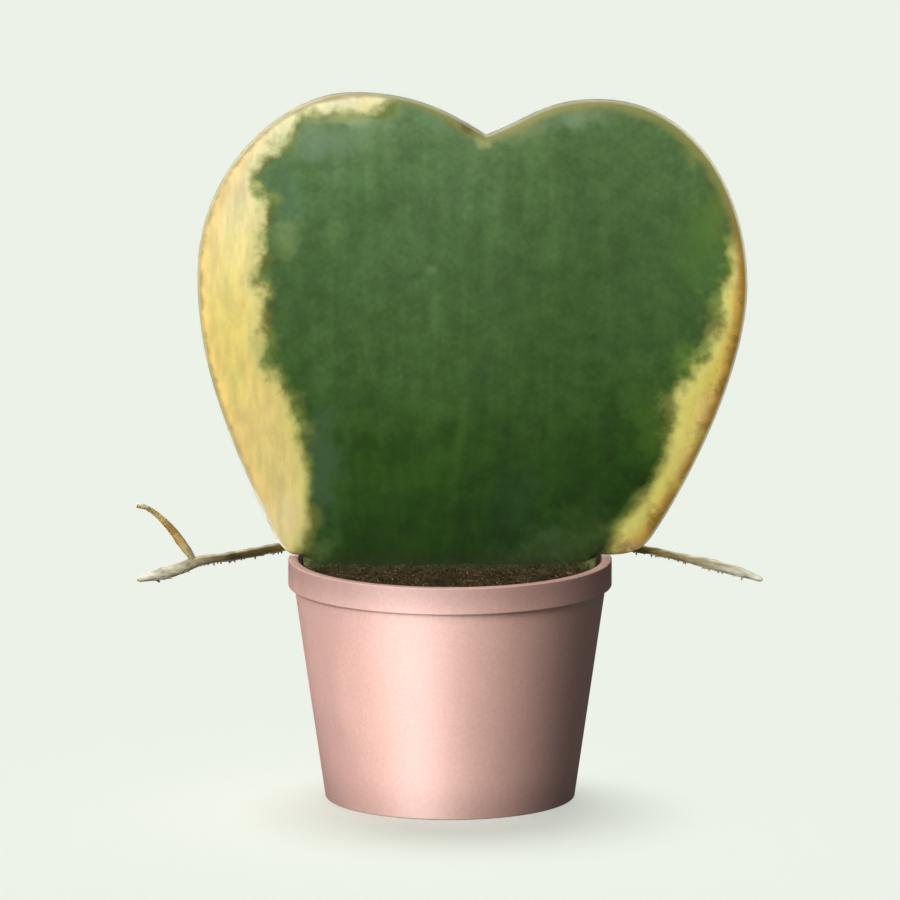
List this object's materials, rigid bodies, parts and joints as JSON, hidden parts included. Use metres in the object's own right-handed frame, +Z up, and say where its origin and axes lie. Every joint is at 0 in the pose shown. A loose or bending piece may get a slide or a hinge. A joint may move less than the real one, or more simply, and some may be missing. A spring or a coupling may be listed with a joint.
{
  "type": "potted hoya plant",
  "caption": "Thick heart-shaped hoya leaf with a cream margin, standing notch up in a small pink tapered pot of potting mix, with thin trailing runners.",
  "frame": {"origin": "on the ground, on the pot's round axis", "axes": "+Z up along the pot's axis, -Y the way the leaf's face looks, +X to the right as seen from the front"},
  "size_m": [0.126, 0.0648, 0.1422],
  "materials": {
    "pot_ware": "satin",
    "potting_mix": "matte",
    "leaf": "satin",
    "runner_bark": "matte"
  },
  "bodies": {
    "root": {"pot": "pot_ware", "soil": "potting_mix", "leaf": "leaf", "runner_left": "runner_bark", "runner_right": "runner_bark"}
  },
  "joints": []
}
